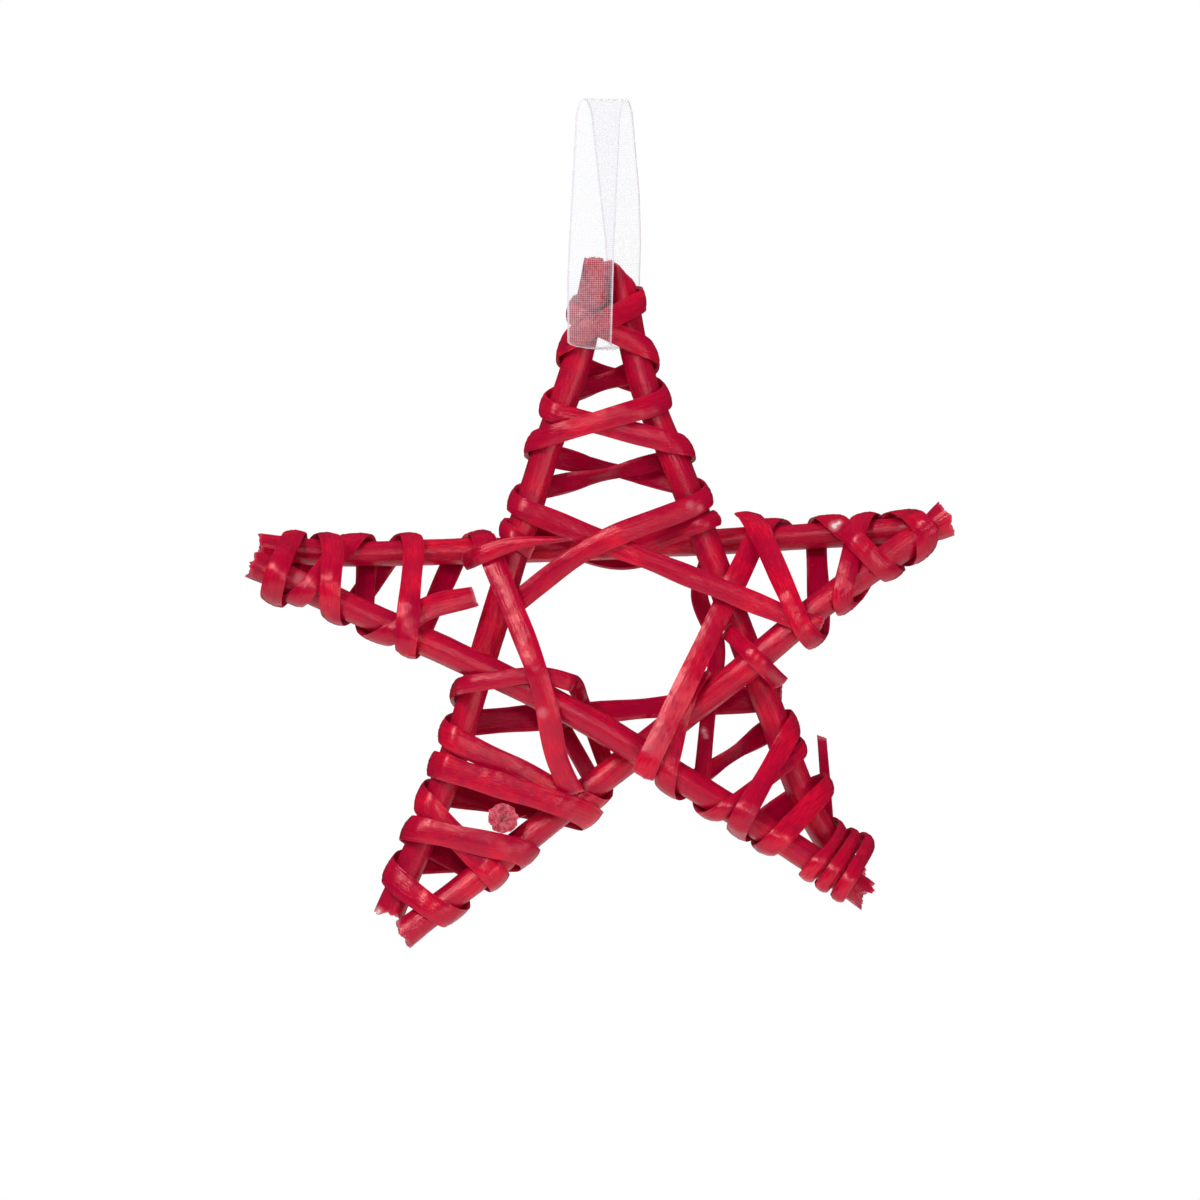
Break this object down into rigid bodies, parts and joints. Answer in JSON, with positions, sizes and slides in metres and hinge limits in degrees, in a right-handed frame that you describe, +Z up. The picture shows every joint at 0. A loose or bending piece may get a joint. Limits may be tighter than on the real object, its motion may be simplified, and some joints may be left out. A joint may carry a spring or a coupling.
{
  "type": "wicker star ornament",
  "caption": "Flat five-pointed star of red-dyed willow rods bound and laced with split-willow strips, hung from a loop of sheer white organza ribbon.",
  "frame": {"origin": "inside of the top of the ribbon loop, where it rests on the hook or twig that the ornament hangs from", "axes": "+Z up the hanging ornament, +Y out of the back of the star, so that the front of the star faces -Y"},
  "size_m": [0.1531, 0.0267, 0.1823],
  "materials": {
    "dyed_willow_rod": "red-dyed peeled willow, satin",
    "dyed_split_willow": "red-dyed split willow, satin",
    "cut_willow": "frayed cut end, dull pink",
    "white_organza": "sheer woven ribbon"
  },
  "bodies": {
    "root": {"Rod_top_to_lower_left": "dyed_willow_rod", "Rod_top_to_lower_right": "dyed_willow_rod", "Rod_left_to_right": "dyed_willow_rod", "Rod_left_to_lower_right": "dyed_willow_rod", "Rod_right_to_lower_left": "dyed_willow_rod", "Rod_butt_end": "cut_willow", "Strip_upper_tie": "dyed_split_willow", "Strip_behind_top": "dyed_split_willow", "Strip_right_tie": "dyed_split_willow", "Strip_right_of_middle": "dyed_split_willow", "Strip_lower_right_lacing": "dyed_split_willow", "Strip_lower_right_tip": "dyed_split_willow", "Strip_behind_middle": "dyed_split_willow", "Strip_left_tie": "dyed_split_willow", "Strip_right_brace": "dyed_split_willow", "Strip_top_lacing": "dyed_split_willow", "Strip_left_brace": "dyed_split_willow", "Strip_lower_left_lacing": "dyed_split_willow", "Strip_left_lacing": "dyed_split_willow", "Strip_torn_end": "dyed_split_willow", "Strip_right_lacing": "dyed_split_willow", "Strip_beside_middle": "dyed_split_willow", "Strip_cut_end": "dyed_split_willow", "Ribbon_loop": "white_organza"}
  },
  "joints": []
}
